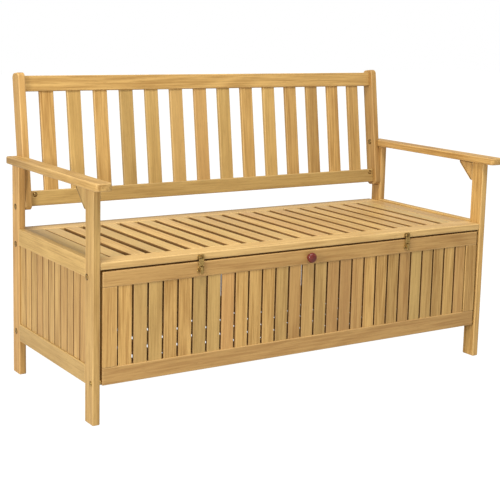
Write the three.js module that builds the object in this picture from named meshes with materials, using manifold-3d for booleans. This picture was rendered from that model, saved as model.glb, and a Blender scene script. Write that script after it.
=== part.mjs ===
// Wooden storage bench: slatted box seat with a drop front, armrests and a leaning slatted back.
// Millimetres. +X runs along the bench, the front faces -Y, +Z is up and the feet stand on z = 0.
// x is measured from the middle of the bench and y from the front faces of the front legs; the whole
// group is then moved back so that the origin is under the middle of the bench.
import * as THREE from "three";
import { mergeVertices } from "three/addons/utils/BufferGeometryUtils.js";
import Module from "manifold-3d";

const wasm = await Module();
wasm.setup();

// overall
const benchWidth = 1280; // over the outer faces of the legs
const boxDepth = 516; // front face of the front legs to rear face of the rear legs
const legThickness = 20;
const legDepth = 45;
const fitGap = 0.3; // between pieces that meet but can't share a face
const sideStock = 20; // thickness of the rails beside the box

// seat
const seatHeight = 407;
const seatThickness = 19;
const seatSetback = 2; // seat front edge behind the leg fronts
const seatRearOverhang = 10;
const seatRailWidth = 56;
const endBoardWidth = 51;
const endBoardGap = 4;
const seatBoardCount = 20;
const seatBoardGap = 17;
const battenWidth = 30;
const battenHeight = 12;
const battenCount = 3;

// sides
const lowerRailBottom = 97;
const lowerRailHeight = 48;
const apronHeight = 46;
const apronStandsProud = 5; // above the seat
const sideBoardCount = 11;
const sideBoardThickness = 12;
const sideJointWidth = 1.6;
const sideJointDepth = 4;

// rails behind the flap and at the rear
const upperRailHeight = 43;
const upperRailThickness = 20;
const lowerFrontRailThickness = 18;
const rearRailSetback = 16; // behind them to the rear faces of the rear legs
const rearSlatSetback = 3.5; // slat faces behind the inner faces of the rear rails
const panelSlatThickness = 6;
const panelSlatGap = 4.5;
const grooveDepth = 8;
const rearSlatCount = 29;

// floor of the box
const floorSlatCount = 16;
const floorSlatWidth = 50;
const floorSlatThickness = 12;
const floorSlatEndGap = 7.75; // first and last slats to the box's inner faces
const bearerHeight = 19;
const bearerWidth = 20;

// flap
const flapSideGap = 7;
const flapSetback = 2;
const flapThickness = 22;
const flapBottom = 98.5;
const flapTopGap = 4.5; // under the seat front board
const flapTopRailHeight = 39.4;
const flapBottomRailHeight = 44.5;
const flapStileWidth = 39.5;
const flapSlatCount = 27;
const flapSlatSetback = 2; // slat faces behind the faces of the flap's rails
const flapRowEndGap = 3.4; // first and last slats to the flap's stiles
const flapStopGap = 0.5; // closed flap to the upper rail it rests against
const flapFootGap = 3; // closed flap to the lower rail, room for its foot to turn

// flap pivots
const pivotRadius = 3;
const pivotFromFront = 11;
const pivotAboveFlapBottom = 7.5;
const pivotReach = 33; // into the flap
const pivotHeadRadius = 6.5;
const pivotHeadHeight = 2.5;
const legBoreClearance = 0.05;
const flapBoreClearance = 0.06;

// armrests
const armUnderside = 587;
const armThickness = 20;
const armWidth = 45;
const armOutset = 15; // beyond the outer faces of the legs
const armFrontOverhang = 46;
const armRearOverhang = 7.5;
const braceRun = 57;
const braceDrop = 55;
const braceNose = 7;

// back
const backLean = THREE.MathUtils.degToRad(7.54);
const stileThickness = 20;
const stileDepth = 45;
const stileLength = 375;
const stileFootHeight = 463.5;
const stileFootSetback = 47; // stile foot's front corner ahead of the rear legs' rear faces
const backRailThickness = 20;
const backRailSetback = 12.5; // behind the faces of the stiles
const backTopRailHeight = 43;
const backTopRailDrop = 8.5; // below the top of the stiles
const backBottomRailHeight = 42;
const backBottomRailRise = 8.5; // above the foot of the stiles
const backSlatCount = 14;
const backSlatWidth = 41;
const backSlatEndGap = 46.5; // first and last slats to the stiles
const backSlatThickness = 12;

// knob
const knobRadius = 14;
const knobHeight = 21;

// toggle latches
const latchOffset = 340; // either side of the middle
const plateThickness = 1.5;
const strikePlateWidth = 21;
const strikePlateHeight = 14.5;
const strikePegWidth = 9;
const strikePegHeight = 2.5;
const strikePegReach = 5.5;
const strikePegRise = 7; // underside of the peg above the underside of the seat board
const wireRadius = 1;
const loopHalfWidth = 6.6;
const loopPegGap = 0.5;
const leverWidth = 8;
const leverPivotStandOff = 5.6; // lever pivot ahead of the flap's face
const leverPivotDrop = 14.5; // lever pivot below the top of the flap
const leverPinRadius = 1.2;
const leverPinClearance = 0.05;
const wireClearance = 0.05;
const loopPivotDrop = 6; // loop's ends below the lever pivot
const loopPivotBehind = 1;
const earThickness = 1;
const earGap = 0.25;

// derived heights and depths
const halfWidth = benchWidth / 2;
const innerHalf = halfWidth - legThickness;
const rearLegFront = boxDepth - legDepth;
const seatUnderside = seatHeight - seatThickness;
const seatRear = boxDepth + seatRearOverhang;
const seatRailFrontInner = seatSetback + seatRailWidth;
const seatRailRearInner = seatRear - seatRailWidth;
const lowerRailTop = lowerRailBottom + lowerRailHeight;
const apronTop = seatHeight + apronStandsProud;
const apronBottom = apronTop - apronHeight;
const upperRailTop = seatUnderside;
const upperRailBottom = upperRailTop - upperRailHeight;
const flapRear = flapSetback + flapThickness;
const upperFrontRailFront = flapRear + flapStopGap;
const lowerFrontRailFront = flapRear + flapFootGap;
const lowerFrontRailRear = lowerFrontRailFront + lowerFrontRailThickness;
const floorSlatPitch = (2 * (innerHalf - floorSlatEndGap) - floorSlatWidth) / (floorSlatCount - 1);
const rearRailRear = boxDepth - rearRailSetback;
const rearRailFront = rearRailRear - upperRailThickness;
const rearSlatFront = rearRailFront + rearSlatSetback;
const flapTop = seatUnderside - flapTopGap;
const flapHalf = innerHalf - flapSideGap;
const flapTopRailBottom = flapTop - flapTopRailHeight;
const flapBottomRailTop = flapBottom + flapBottomRailHeight;
const flapSlatFront = flapSetback + flapSlatSetback;
const flapInnerHalf = flapHalf - flapStileWidth;
const pivotHeight = flapBottom + pivotAboveFlapBottom;
const armTop = armUnderside + armThickness;
const stileFootFront = boxDepth - stileFootSetback;
const stileCentre = innerHalf - stileThickness / 2;
const backRailHalf = innerHalf - stileThickness;
const backSlatPitch = (2 * (backRailHalf - backSlatEndGap) - backSlatWidth) / (backSlatCount - 1);
const backRear = stileFootFront + stileLength * Math.sin(backLean) + stileDepth * Math.cos(backLean);
const leverPivotY = flapSetback - leverPivotStandOff;
const leverPivotZ = flapTop - leverPivotDrop;
const loopPivotY = leverPivotY + loopPivotBehind;
const loopPivotZ = leverPivotZ - loopPivotDrop;
const strikePegTop = seatUnderside + strikePegRise + strikePegHeight;
const loopTop = strikePegTop + loopPegGap + wireRadius;

// materials
const oiledWood = () => new THREE.MeshStandardMaterial({ color: 0xcba469, roughness: 0.55, metalness: 0 });
const paleWood = () => new THREE.MeshStandardMaterial({ color: 0xe3c48e, roughness: 0.55, metalness: 0 });
const redWood = () => new THREE.MeshStandardMaterial({ color: 0x5a1d12, roughness: 0.25, metalness: 0 });
const agedBrass = () => new THREE.MeshStandardMaterial({ color: 0x8a6d33, roughness: 0.4, metalness: 1 });

// the finished bench, and the frame that the leaning back is built in
const bench = new THREE.Group();
const backFrame = new THREE.Group();
backFrame.position.set(0, stileFootFront, stileFootHeight);
backFrame.rotation.x = -backLean;
bench.add(backFrame);

function place(name, geometry, material, parent = bench) {
  const mesh = new THREE.Mesh(geometry, material);
  mesh.name = name;
  parent.add(mesh);
}

function block(x0, x1, y0, y1, z0, z1) {
  const geometry = new THREE.BoxGeometry(Math.abs(x1 - x0), y1 - y0, z1 - z0);
  geometry.translate((x0 + x1) / 2, (y0 + y1) / 2, (z0 + z1) / 2);
  return geometry;
}

function outline(points, holes = []) {
  const shape = new THREE.Shape(points.map(([a, b]) => new THREE.Vector2(a, b)));
  shape.holes = holes;
  return shape;
}

function roundHole(a, b, radius) {
  const hole = new THREE.Path();
  hole.absarc(a, b, radius, 0, Math.PI * 2, true);
  return hole;
}

function rectangle(a0, a1, b0, b1) {
  return [[a0, b0], [a1, b0], [a1, b1], [a0, b1]];
}

function extrude(shape, depth) {
  return new THREE.ExtrudeGeometry(shape, { depth, bevelEnabled: false, curveSegments: 8 });
}

// a y-z outline extruded along x
function alongX(shape, x0, x1) {
  const geometry = extrude(shape, Math.abs(x1 - x0));
  const turn = new THREE.Matrix4().set(0, 0, 1, Math.min(x0, x1), 1, 0, 0, 0, 0, 1, 0, 0, 0, 0, 0, 1);
  return geometry.applyMatrix4(turn);
}

// an x-z outline extruded along y
function alongY(shape, y0, y1) {
  const geometry = extrude(shape, y1 - y0);
  const turn = new THREE.Matrix4().set(1, 0, 0, 0, 0, 0, -1, y1, 0, 1, 0, 0, 0, 0, 0, 1);
  return geometry.applyMatrix4(turn);
}

// an x-y outline extruded along z
function alongZ(shape, z0, z1) {
  return extrude(shape, z1 - z0).translate(0, 0, z0);
}

function rodX(radius, x0, x1, y, z, segments = 16) {
  const geometry = new THREE.CylinderGeometry(radius, radius, Math.abs(x1 - x0), segments);
  geometry.rotateZ(Math.PI / 2);
  return geometry.translate((x0 + x1) / 2, y, z);
}

function rodZ(radius, x, y, z0, z1, segments = 16) {
  const geometry = new THREE.CylinderGeometry(radius, radius, z1 - z0, segments);
  geometry.rotateX(Math.PI / 2);
  return geometry.translate(x, y, (z0 + z1) / 2);
}

function toSolid(geometry) {
  const bare = geometry.clone();
  bare.deleteAttribute("normal");
  bare.deleteAttribute("uv");
  const merged = mergeVertices(bare, 1e-4);
  return new wasm.Manifold(new wasm.Mesh({
    numProp: 3,
    vertProperties: new Float32Array(merged.attributes.position.array),
    triVerts: new Uint32Array(merged.index.array),
  }));
}

function toGeometry(solid) {
  const mesh = solid.getMesh();
  const geometry = new THREE.BufferGeometry();
  geometry.setAttribute("position", new THREE.BufferAttribute(new Float32Array(mesh.vertProperties), 3));
  geometry.setIndex(new THREE.BufferAttribute(new Uint32Array(mesh.triVerts), 1));
  geometry.computeVertexNormals();
  return geometry;
}

function join(pieces) {
  return toGeometry(pieces.map(toSolid).reduce((whole, piece) => whole.add(piece)));
}

function cut(body, tools) {
  return toGeometry(tools.map(toSolid).reduce((whole, tool) => whole.subtract(tool), toSolid(body)));
}

// centres of equal pieces spread evenly about the middle
function spread(count, pitch) {
  return Array.from({ length: count }, (_, i) => (i - (count - 1) / 2) * pitch);
}

function addLegs(side, sign) {
  const foot = rectangle(0, legDepth, 0, armUnderside);
  const bore = roundHole(pivotFromFront, pivotHeight, pivotRadius + legBoreClearance);
  const outer = sign * halfWidth;
  const inner = sign * innerHalf;
  place(`front_leg_${side}`, alongX(outline(foot, [bore]), inner, outer), oiledWood());
  place(`rear_leg_${side}`, block(inner, outer, rearLegFront, boxDepth, 0, armUnderside), oiledWood());
}

function stileFrontAt(z) {
  return stileFootFront + (z - stileFootHeight) * Math.tan(backLean);
}

function addArmrest(side, sign) {
  const outer = sign * (halfWidth + armOutset);
  const inner = sign * (halfWidth + armOutset - armWidth);
  const notch = sign * innerHalf;
  const notchStart = stileFrontAt(armUnderside) - fitGap;
  const rear = boxDepth + armRearOverhang;
  const plan = [
    [outer, -armFrontOverhang], [inner, -armFrontOverhang], [inner, notchStart],
    [notch, notchStart], [notch, rear], [outer, rear],
  ];
  place(`armrest_${side}`, alongZ(outline(plan), armUnderside, armTop), oiledWood());
  const brace = [
    [legDepth, armUnderside - braceDrop], [legDepth + braceNose, armUnderside - braceDrop],
    [legDepth + braceRun, armUnderside - braceNose], [legDepth + braceRun, armUnderside],
    [legDepth, armUnderside],
  ];
  const braceShape = outline(brace);
  place(`arm_brace_${side}`, alongX(braceShape, sign * innerHalf, sign * halfWidth), oiledWood());
}

function addSide(side, sign) {
  const outer = sign * halfWidth;
  const inner = sign * (halfWidth - sideStock);
  const apron = block(inner, outer, legDepth, rearLegFront, apronBottom, apronTop);
  place(`side_apron_${side}`, apron, oiledWood());
  const rail = block(inner, outer, legDepth, rearLegFront, lowerRailBottom, lowerRailTop);
  place(`side_lower_rail_${side}`, rail, oiledWood());
  // boards edge to edge: open joints on the outside, tongues behind them
  const face = sign * (halfWidth - (sideStock - sideBoardThickness) / 2);
  const jointBottom = face - sign * sideJointDepth;
  const pitch = (rearLegFront - legDepth) / sideBoardCount;
  const plan = [[face, legDepth]];
  for (let i = 1; i < sideBoardCount; i += 1) {
    const joint = legDepth + i * pitch;
    plan.push([face, joint - sideJointWidth / 2], [jointBottom, joint - sideJointWidth / 2]);
    plan.push([jointBottom, joint + sideJointWidth / 2], [face, joint + sideJointWidth / 2]);
  }
  const back = face - sign * sideBoardThickness;
  plan.push([face, rearLegFront], [back, rearLegFront], [back, legDepth]);
  place(`side_boards_${side}`, alongZ(outline(plan), lowerRailTop, apronBottom), oiledWood());
}

// a rail whose long edge holds the ends of a row of slats in a groove
function groovedRail(half, y0, y1, z0, z1, grooveY, grooveAtTop) {
  const g0 = grooveY;
  const g1 = grooveY + panelSlatThickness;
  const bottomEdge = grooveAtTop
    ? [[y0, z0], [y1, z0]]
    : [[y0, z0], [g0, z0], [g0, z0 + grooveDepth], [g1, z0 + grooveDepth], [g1, z0], [y1, z0]];
  const topEdge = grooveAtTop
    ? [[y1, z1], [g1, z1], [g1, z1 - grooveDepth], [g0, z1 - grooveDepth], [g0, z1], [y0, z1]]
    : [[y1, z1], [y0, z1]];
  return alongX(outline([...bottomEdge, ...topEdge]), -half, half);
}

// a row of upright slats with filler strips between their ends, inside the grooves
function slatRow(half, count, gap, y0, z0, z1) {
  const pitch = (2 * half + gap) / count;
  const openings = spread(count - 1, pitch).map((x) => block(
    x - gap / 2, x + gap / 2, y0 - 1, y0 + panelSlatThickness + 1, z0, z1,
  ));
  const sheet = block(-half, half, y0, y0 + panelSlatThickness, z0 - grooveDepth, z1 + grooveDepth);
  return cut(sheet, openings);
}

function addRails() {
  const upperFrontRear = upperFrontRailFront + upperRailThickness;
  place(
    "front_upper_rail",
    block(-innerHalf, innerHalf, upperFrontRailFront, upperFrontRear, upperRailBottom, upperRailTop),
    oiledWood(),
  );
  place(
    "front_lower_rail",
    block(-innerHalf, innerHalf, lowerFrontRailFront, lowerFrontRailRear, lowerRailBottom, lowerRailTop),
    oiledWood(),
  );
  place(
    "rear_upper_rail",
    groovedRail(innerHalf, rearRailFront, rearRailRear, upperRailBottom, upperRailTop, rearSlatFront, false),
    oiledWood(),
  );
  place(
    "rear_lower_rail",
    groovedRail(innerHalf, rearRailFront, rearRailRear, lowerRailBottom, lowerRailTop, rearSlatFront, true),
    oiledWood(),
  );
  place(
    "rear_slats",
    slatRow(innerHalf, rearSlatCount, panelSlatGap, rearSlatFront, lowerRailTop, upperRailBottom),
    oiledWood(),
  );
}

function addFloor() {
  const bearerTop = lowerRailBottom + bearerHeight;
  const seated = 1; // depth the slats are let into the bearers
  const front = lowerFrontRailRear + fitGap;
  const rear = rearRailFront - fitGap;
  const starts = [front, rear - bearerWidth];
  const pieces = starts.map((y) => block(
    -innerHalf, innerHalf, y, y + bearerWidth, lowerRailBottom, bearerTop + seated,
  ));
  for (const x of spread(floorSlatCount, floorSlatPitch)) {
    const left = x - floorSlatWidth / 2;
    const right = x + floorSlatWidth / 2;
    const slatTop = bearerTop + floorSlatThickness;
    pieces.push(block(left, right, front, rear, bearerTop, slatTop));
  }
  place("floor_slats", join(pieces), oiledWood());
}

function addSeat() {
  const boardHalf = innerHalf - endBoardWidth - endBoardGap;
  const pitch = (2 * boardHalf + seatBoardGap) / seatBoardCount;
  const boardWidth = pitch - seatBoardGap;
  place(
    "seat_front_board",
    block(-innerHalf, innerHalf, seatSetback, seatRailFrontInner, seatUnderside, seatHeight),
    paleWood(),
  );
  place(
    "seat_rear_board",
    block(-innerHalf, innerHalf, seatRailRearInner, seatRear, seatUnderside, seatHeight),
    paleWood(),
  );
  for (const [side, sign] of [["left", -1], ["right", 1]]) {
    const outer = sign * innerHalf;
    const inner = sign * (innerHalf - endBoardWidth);
    const board = block(inner, outer, seatRailFrontInner, seatRailRearInner, seatUnderside, seatHeight);
    place(`seat_end_board_${side}`, board, paleWood());
  }
  const seated = 1; // depth the battens are let into the boards
  const pieces = spread(seatBoardCount, pitch).map((x) => block(
    x - boardWidth / 2, x + boardWidth / 2, seatRailFrontInner, seatRailRearInner, seatUnderside, seatHeight,
  ));
  const battenHalf = boardHalf;
  const battenPitch = (seatRailRearInner - seatRailFrontInner) / battenCount;
  for (const offset of spread(battenCount, battenPitch)) {
    const y = (seatRailFrontInner + seatRailRearInner) / 2 + offset;
    pieces.push(block(
      -battenHalf, battenHalf, y - battenWidth / 2, y + battenWidth / 2,
      seatUnderside - battenHeight, seatUnderside + seated,
    ));
  }
  place("seat_boards", join(pieces), paleWood());
}

// the leaning back: local y is depth behind the stile faces, local z runs up the stiles
function addBack() {
  for (const [side, sign] of [["left", -1], ["right", 1]]) {
    const x0 = sign * stileCentre - stileThickness / 2;
    const stile = block(x0, x0 + stileThickness, 0, stileDepth, 0, stileLength);
    place(`back_stile_${side}`, stile, oiledWood(), backFrame);
  }
  const railRear = backRailSetback + backRailThickness;
  const topRailTop = stileLength - backTopRailDrop;
  const topRailBottom = topRailTop - backTopRailHeight;
  const bottomRailTop = backBottomRailRise + backBottomRailHeight;
  place(
    "back_top_rail",
    block(-backRailHalf, backRailHalf, backRailSetback, railRear, topRailBottom, topRailTop),
    oiledWood(),
    backFrame,
  );
  place(
    "back_bottom_rail",
    block(-backRailHalf, backRailHalf, backRailSetback, railRear, backBottomRailRise, bottomRailTop),
    oiledWood(),
    backFrame,
  );
  const slatFront = backRailSetback + (backRailThickness - backSlatThickness) / 2;
  spread(backSlatCount, backSlatPitch).forEach((x, i) => {
    const number = String(i + 1).padStart(2, "0");
    const slat = block(
      x - backSlatWidth / 2, x + backSlatWidth / 2, slatFront, slatFront + backSlatThickness,
      bottomRailTop + fitGap, topRailBottom - fitGap,
    );
    place(`back_slat_${number}`, slat, oiledWood(), backFrame);
  });
}

function addFlap() {
  place(
    "flap_top_rail",
    groovedRail(flapHalf, flapSetback, flapRear, flapTopRailBottom, flapTop, flapSlatFront, false),
    oiledWood(),
  );
  const bottomRail = groovedRail(
    flapHalf, flapSetback, flapRear, flapBottom, flapBottomRailTop, flapSlatFront, true,
  );
  const bores = [-1, 1].map((sign) => rodX(
    pivotRadius + flapBoreClearance, sign * (flapHalf - pivotReach - 2), sign * (flapHalf + 2),
    pivotFromFront, pivotHeight,
  ));
  place("flap_bottom_rail", cut(bottomRail, bores), oiledWood());
  for (const [side, sign] of [["left", -1], ["right", 1]]) {
    const outer = sign * flapHalf;
    const inner = sign * flapInnerHalf;
    const stile = block(inner, outer, flapSetback, flapRear, flapBottomRailTop, flapTopRailBottom);
    place(`flap_stile_${side}`, stile, oiledWood());
  }
  // a clear joint against each stile
  const rowHalf = flapInnerHalf - flapRowEndGap;
  place(
    "flap_slats",
    slatRow(rowHalf, flapSlatCount, panelSlatGap, flapSlatFront, flapBottomRailTop, flapTopRailBottom),
    oiledWood(),
  );
}

function addPivotBolt(side, sign) {
  const head = rodX(
    pivotHeadRadius, sign * halfWidth, sign * (halfWidth + pivotHeadHeight), pivotFromFront, pivotHeight,
  );
  const shank = rodX(
    pivotRadius, sign * (flapHalf - pivotReach), sign * (halfWidth + 1), pivotFromFront, pivotHeight,
  );
  const spacer = rodX(
    pivotHeadRadius, sign * (flapHalf + fitGap), sign * innerHalf, pivotFromFront, pivotHeight,
  );
  place(`flap_pivot_bolt_${side}`, join([head, shank, spacer]), agedBrass());
}

function addKnob() {
  const profile = [
    [0, 0], [0.57, 0], [0.5, 0.14], [0.46, 0.29], [0.64, 0.43], [0.93, 0.57],
    [1, 0.71], [0.9, 0.86], [0.57, 0.97], [0, 1],
  ];
  const points = profile.map(([r, h]) => new THREE.Vector2(r * knobRadius, h * knobHeight));
  const knob = new THREE.LatheGeometry(points, 32);
  knob.rotateX(Math.PI);
  // the lathe's axis runs along y already, with the knob's face towards -y
  knob.translate(0, flapSetback, (flapTop + flapTopRailBottom) / 2);
  place("knob", knob, redWood());
}

function addStrike(side, x) {
  const front = seatSetback - plateThickness;
  const plateTop = seatUnderside + 0.5 + strikePlateHeight;
  const plate = block(
    x - strikePlateWidth / 2, x + strikePlateWidth / 2, front, seatSetback, seatUnderside + 0.5, plateTop,
  );
  const peg = block(
    x - strikePegWidth / 2, x + strikePegWidth / 2, front - strikePegReach, seatSetback - 0.5,
    seatUnderside + strikePegRise, strikePegTop,
  );
  place(`latch_strike_${side}`, join([plate, peg]), agedBrass());
}

function addLatchBase(side, x) {
  const z = leverPivotZ;
  const plan = [
    [x - 10.5, z - 13.5], [x + 10.5, z - 13.5], [x + 10.5, z - 3], [x + 7, z], [x + 7, z + 10],
    [x - 7, z + 10], [x - 7, z], [x - 10.5, z - 3],
  ];
  const front = flapSetback - plateThickness;
  const nose = leverPivotY - 3;
  const pieces = [alongY(outline(plan), front, flapSetback)];
  const ear = [
    [flapSetback - 0.5, z - 3], [flapSetback - 0.5, z + 3], [nose + 0.8, z + 3], [nose, z + 2.2],
    [nose, z - 2.2], [nose + 0.8, z - 3],
  ];
  const earInner = leverWidth / 2 + earGap;
  for (const sign of [-1, 1]) {
    pieces.push(alongX(outline(ear), x + sign * earInner, x + sign * (earInner + earThickness)));
  }
  const pinHalf = earInner + earThickness / 2;
  pieces.push(rodX(leverPinRadius, x - pinHalf, x + pinHalf, leverPivotY, z));
  place(`latch_base_${side}`, join(pieces), agedBrass());
}

function addLever(side, x) {
  const blade = [
    [2, 2], [0, 2.6], [-2, 2], [-2.6, 0], [-2, -3], [-1.5, -7], [-2.6, -13], [-4, -15.8],
    [-2.6, -16.4], [-0.6, -13.4], [2.8, -8], [3, -5.5], [2.6, -2],
  ];
  const profile = outline(
    blade.map(([y, z]) => [leverPivotY + y, leverPivotZ + z]),
    [
      roundHole(leverPivotY, leverPivotZ, leverPinRadius + leverPinClearance),
      roundHole(loopPivotY, loopPivotZ, wireRadius + wireClearance),
    ],
  );
  place(`latch_lever_${side}`, alongX(profile, x - leverWidth / 2, x + leverWidth / 2), agedBrass());
}

function addLoop(side, x) {
  const pieces = [rodX(wireRadius, x - loopHalfWidth, x + loopHalfWidth, loopPivotY, loopTop)];
  for (const sign of [-1, 1]) {
    const leg = x + sign * loopHalfWidth;
    pieces.push(rodZ(wireRadius, leg, loopPivotY, loopPivotZ - wireRadius, loopTop + wireRadius));
    pieces.push(rodX(wireRadius, x + sign * (leverWidth / 2 - 1), leg, loopPivotY, loopPivotZ));
  }
  place(`latch_loop_${side}`, join(pieces), agedBrass());
}

for (const [side, sign] of [["left", -1], ["right", 1]]) {
  addLegs(side, sign);
  addArmrest(side, sign);
  addSide(side, sign);
  addPivotBolt(side, sign);
  addStrike(side, sign * latchOffset);
  addLatchBase(side, sign * latchOffset);
  addLever(side, sign * latchOffset);
  addLoop(side, sign * latchOffset);
}
addRails();
addFloor();
addSeat();
addBack();
addFlap();
addKnob();

bench.position.y = -(backRear - armFrontOverhang) / 2;

export default bench;
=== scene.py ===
import bpy
import math
import numpy as np
from mathutils import Matrix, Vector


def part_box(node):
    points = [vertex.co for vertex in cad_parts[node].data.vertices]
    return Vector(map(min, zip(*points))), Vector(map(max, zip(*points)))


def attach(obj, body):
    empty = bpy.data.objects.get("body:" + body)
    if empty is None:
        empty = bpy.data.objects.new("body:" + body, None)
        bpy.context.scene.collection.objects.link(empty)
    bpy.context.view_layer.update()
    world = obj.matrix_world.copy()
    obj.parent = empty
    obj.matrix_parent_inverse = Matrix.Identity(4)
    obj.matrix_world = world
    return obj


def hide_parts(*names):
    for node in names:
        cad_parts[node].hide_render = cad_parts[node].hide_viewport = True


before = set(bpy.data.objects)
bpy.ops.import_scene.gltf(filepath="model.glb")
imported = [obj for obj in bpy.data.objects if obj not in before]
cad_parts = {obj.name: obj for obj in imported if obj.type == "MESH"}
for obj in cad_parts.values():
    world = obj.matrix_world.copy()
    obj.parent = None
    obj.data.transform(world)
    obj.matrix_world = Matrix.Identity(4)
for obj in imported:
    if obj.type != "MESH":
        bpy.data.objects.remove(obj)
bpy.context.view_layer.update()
print("frame loaded:", len(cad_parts), "nodes")

mm = 0.001

cameraView = {
    "place": (-1.82361, -2.76263, 1.01043),
    "turn": 33.01,  # degrees to the right of straight on
    "tilt": 9.09,  # degrees down
    "roll": 1.41,
    "lens": 84.416,
    "shift": -0.1,
}


# looks along a direction given by turn and tilt, then rolls about it
def makeCamera(view):
    turn, tilt, roll = (math.radians(view[k]) for k in ("turn", "tilt", "roll"))
    forward = np.array([math.sin(turn) * math.cos(tilt), math.cos(turn) * math.cos(tilt), -math.sin(tilt)])
    right = np.array([math.cos(turn), -math.sin(turn), 0.0])
    up = np.cross(right, forward)
    across = right * math.cos(roll) + up * math.sin(roll)
    upward = -right * math.sin(roll) + up * math.cos(roll)
    data = bpy.data.cameras.new("camera")
    data.lens = view["lens"]
    data.sensor_width = 36
    data.shift_y = view["shift"]
    data.clip_start, data.clip_end = 0.05, 60
    camera = bpy.data.objects.new("camera", data)
    bpy.context.scene.collection.objects.link(camera)
    rows = np.eye(4)
    rows[:3, 0], rows[:3, 1], rows[:3, 2], rows[:3, 3] = across, upward, -forward, view["place"]
    camera.matrix_world = Matrix(rows.tolist())
    bpy.context.scene.camera = camera


makeCamera(cameraView)

lightSetup = {
    "backdrop": 1.0,
    "surround": 0.5,
    # name, centre, aims at, size, watts, colour
    "lamps": [
        ("key light", (-1.1, -1.6, 4.8), (0, 0, 0.4), 1.5, 206, (1.0, 0.985, 0.965)),
        ("side light", (-4.3, -1.9, 1.5), (-0.3, 0, 0.45), 1.6, 128, (1.0, 0.985, 0.965)),
    ],
}


# soft round lamps; the backdrop shows at one strength and lights at another
def makeLights(setup):
    scene = bpy.context.scene
    scene.view_settings.view_transform = "Standard"
    world = bpy.data.worlds.new("studio")
    world.use_nodes = True
    tree = world.node_tree
    background = tree.nodes["Background"]
    background.inputs["Color"].default_value = (1, 1, 1, 1)
    seen = Shade(tree).node("ShaderNodeLightPath")
    level = seen * (setup["backdrop"] - setup["surround"]) + setup["surround"]
    tree.links.new(level.socket, background.inputs["Strength"])
    scene.world = world
    for name, place, aim, size, watts, tint in setup["lamps"]:
        data = bpy.data.lights.new(name, "AREA")
        data.shape, data.size, data.energy, data.color = "DISK", size, watts, tint
        lamp = bpy.data.objects.new(name, data)
        toward = np.subtract(aim, place).astype(float)
        lamp.matrix_world = Matrix.Translation(place) @ aimMatrix(toward)
        scene.collection.objects.link(lamp)


# a frame whose -Z runs along the given direction and whose X is level
def aimMatrix(toward):
    back = -toward / np.linalg.norm(toward)
    side = np.cross([0, 0, 1.0], back)
    side /= np.linalg.norm(side)
    rows = np.eye(4)
    rows[:3, 0], rows[:3, 1], rows[:3, 2] = side, np.cross(back, side), back
    return Matrix(rows.tolist())


class Shade:
    # one output socket; arithmetic on it adds Math nodes
    def __init__(self, tree, socket=None):
        self.tree = tree
        self.socket = socket

    # any node: its type, its settings, then the values or links of its sockets
    def node(self, kind, settings=(), inputs=(), output=0):
        made = self.tree.nodes.new(kind)
        for key, value in dict(settings).items():
            setattr(made, key, value)
        for key, value in dict(inputs).items():
            if isinstance(value, Shade):
                self.tree.links.new(value.socket, made.inputs[key])
            elif isinstance(value, tuple) and len(value) == 3 and made.inputs[key].type == "RGBA":
                made.inputs[key].default_value = (*value, 1)
            else:
                made.inputs[key].default_value = value
        return Shade(self.tree, made.outputs[output])

    def maths(self, operation, *values):
        return self.node("ShaderNodeMath", {"operation": operation}, dict(enumerate(values)))

    def __add__(self, other):
        return self.maths("ADD", self, other)

    __radd__ = __add__

    def __sub__(self, other):
        return self.maths("SUBTRACT", self, other)

    def __rsub__(self, other):
        return self.maths("SUBTRACT", other, self)

    def __mul__(self, other):
        return self.maths("MULTIPLY", self, other)

    __rmul__ = __mul__

    def sine(self):
        return self.maths("SINE", self)

    # 0 below low, 1 above high, smooth between
    def step(self, low, high):
        ends = {"Value": self, "From Min": low, "From Max": high}
        return self.node("ShaderNodeMapRange", {"interpolation_type": "SMOOTHSTEP"}, ends)

    # the place multiplied axis by axis, so that a pattern is drawn out along a board
    def stretched(self, along, across, depth):
        factors = {0: self, 1: (along, across, depth)}
        return self.node("ShaderNodeVectorMath", {"operation": "MULTIPLY"}, factors)

    def noise(self, scale, detail=2.0, roughness=0.5, distortion=0.0):
        values = {"Vector": self, "Scale": scale, "Detail": detail, "Roughness": roughness,
                  "Distortion": distortion}
        return self.node("ShaderNodeTexNoise", {}, values)

    # from the first colour to the second as this value goes from 0 to 1
    def blend(self, first, second):
        return self.node("ShaderNodeMix", {"data_type": "RGBA"}, {0: self, 6: first, 7: second}, 2)

    # one component of a vector
    def part(self, index):
        return self.node("ShaderNodeSeparateXYZ", {}, {0: self}, index)


makeLights(lightSetup)


# a material, its node tree wrapped for expressions, and its shader
def newMaterial(name):
    material = bpy.data.materials.new(name)
    material.use_nodes = True
    tree = material.node_tree
    shader = tree.nodes["Principled BSDF"]
    return material, Shade(tree), shader


# links an expression to one socket of the shader
def feed(shade, shader, socket, value):
    shade.tree.links.new(value.socket, shader.inputs[socket])


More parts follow.
